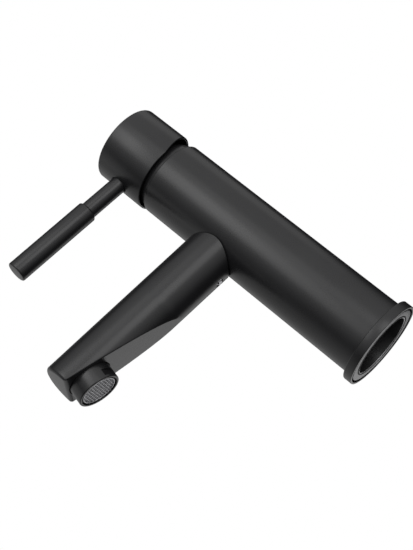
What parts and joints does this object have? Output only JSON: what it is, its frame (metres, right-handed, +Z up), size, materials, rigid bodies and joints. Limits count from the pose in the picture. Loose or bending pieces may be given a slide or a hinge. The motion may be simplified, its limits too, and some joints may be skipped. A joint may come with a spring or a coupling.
{
  "type": "bathroom mixer faucet",
  "caption": "Single-lever basin mixer: tall round body on a base ring, level round spout with a sloping flat and outlet beneath, slim pin lever that tilts for flow and turns for temperature.",
  "frame": {"origin": "centre of the base ring's deck face", "axes": "+Z up along the body, -Y towards the user along the spout, +X to the user's left"},
  "size_m": [0.0514, 0.1564, 0.1901],
  "materials": {
    "black_coat": "matt black coating",
    "brass": "machined",
    "steel": "satin",
    "rubber": "matt",
    "plastic": "matt",
    "ceramic": "polished"
  },
  "bodies": {
    "body": {"base_ring": "black_coat", "base_seal": "rubber", "body_shell": "black_coat", "inlet_core": "brass", "spout_nipple": "brass", "nipple_seals": "rubber", "spout": "black_coat", "spout_screw": "steel", "outlet_collar": "black_coat", "outlet_insert": "plastic", "outlet_screen": "steel", "outlet_washer": "rubber", "cartridge_base": "plastic", "cartridge_seals": "rubber", "cartridge_housing": "plastic", "fixed_disc": "ceramic", "cartridge_nut": "brass", "dome_seal": "rubber", "dome_cover": "black_coat"},
    "rotor": {"rotor": "plastic", "rotor_seal": "rubber", "pivot_pin": "steel"},
    "handle": {"spindle": "steel", "handle_cap": "black_coat", "handle_screw": "steel", "lever_rod": "black_coat", "lever_grip": "black_coat"},
    "disc": {"disc_carrier": "plastic", "moving_disc": "ceramic"}
  },
  "joints": [
    {"name": "temperature", "type": "hinge", "parent": "body", "child": "rotor", "pos_m": [0, 0, 0.1598], "axis": [0, 0, 1], "range_deg": [-45, 45]},
    {"name": "flow", "type": "hinge", "parent": "rotor", "child": "handle", "pos_m": [0, 0, 0.1598], "axis": [-1, 0, 0], "range_deg": [0, 20]},
    {"name": "disc_slide", "type": "slide", "parent": "rotor", "child": "disc", "axis": [0, -1, 0], "range_m": [0, 0.0063]}
  ],
  "couplings": [
    {"joint": "disc_slide", "follows": "flow", "m_per_rad": 0.0177}
  ]
}
